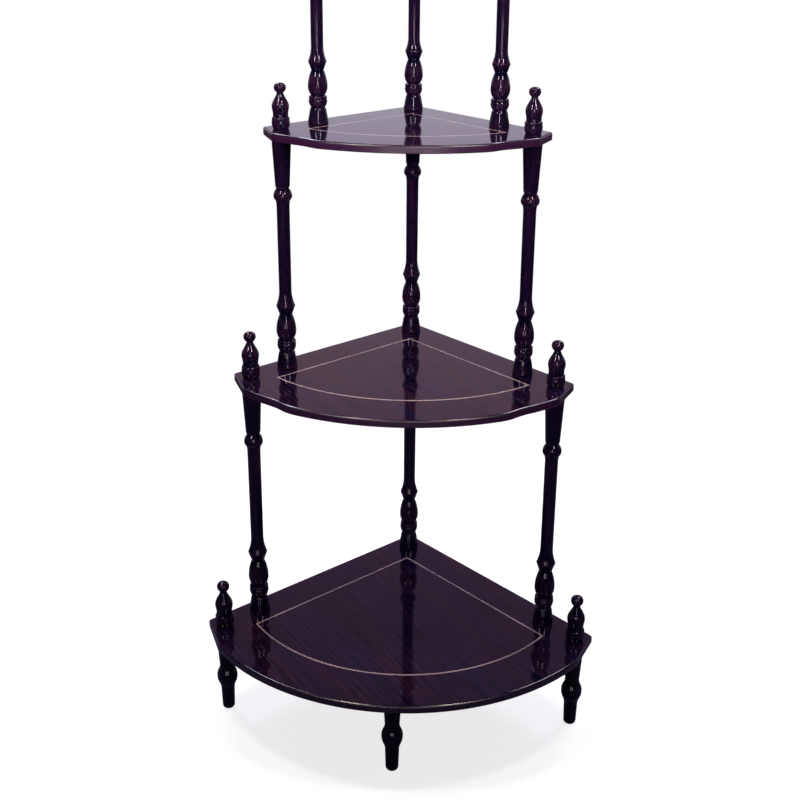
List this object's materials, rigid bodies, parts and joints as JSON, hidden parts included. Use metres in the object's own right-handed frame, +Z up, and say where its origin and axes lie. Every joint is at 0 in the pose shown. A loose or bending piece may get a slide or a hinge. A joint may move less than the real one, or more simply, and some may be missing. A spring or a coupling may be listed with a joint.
{
  "type": "corner shelf",
  "caption": "Tall corner shelf: bow-front boards that grow smaller upwards on turned spindle posts, with turned finials at their corners, turned feet and a thin inlaid line on each board.",
  "frame": {"origin": "middle of the overall width and depth, on the floor under the feet", "axes": "+Z up, -Y towards the bowed front, +Y towards the square back corner, +X to the right as seen from the front"},
  "size_m": [0.4936, 0.412, 1.3024],
  "materials": {
    "board_lacquer": "dark plum stain under high-gloss lacquer",
    "turned_lacquer": "near-black plum stain under high-gloss lacquer",
    "inlay_line": "pale rose-gold line under gloss lacquer",
    "stud_steel": "plain zinc-plated",
    "screw_steel": "bronzed"
  },
  "bodies": {
    "root": {"back_foot": "turned_lacquer", "bottom_inlay": "inlay_line", "bottom_left_finial": "turned_lacquer", "bottom_right_finial": "turned_lacquer", "bottom_shelf": "board_lacquer", "fourth_inlay": "inlay_line", "fourth_left_finial": "turned_lacquer", "fourth_right_finial": "turned_lacquer", "fourth_shelf": "board_lacquer", "front_foot": "turned_lacquer", "joint_studs": "stud_steel", "left_foot": "turned_lacquer", "post_screws": "screw_steel", "right_foot": "turned_lacquer", "second_inlay": "inlay_line", "second_left_finial": "turned_lacquer", "second_right_finial": "turned_lacquer", "second_shelf": "board_lacquer", "third_inlay": "inlay_line", "third_left_finial": "turned_lacquer", "third_right_finial": "turned_lacquer", "third_shelf": "board_lacquer", "tier1_back_post": "turned_lacquer", "tier1_left_post": "turned_lacquer", "tier1_right_post": "turned_lacquer", "tier2_back_post": "turned_lacquer", "tier2_left_post": "turned_lacquer", "tier2_right_post": "turned_lacquer", "tier3_back_post": "turned_lacquer", "tier3_left_post": "turned_lacquer", "tier3_right_post": "turned_lacquer", "tier4_back_post": "turned_lacquer", "tier4_left_post": "turned_lacquer", "tier4_right_post": "turned_lacquer", "top_back_finial": "turned_lacquer", "top_inlay": "inlay_line", "top_left_finial": "turned_lacquer", "top_right_finial": "turned_lacquer", "top_shelf": "board_lacquer"}
  },
  "joints": []
}
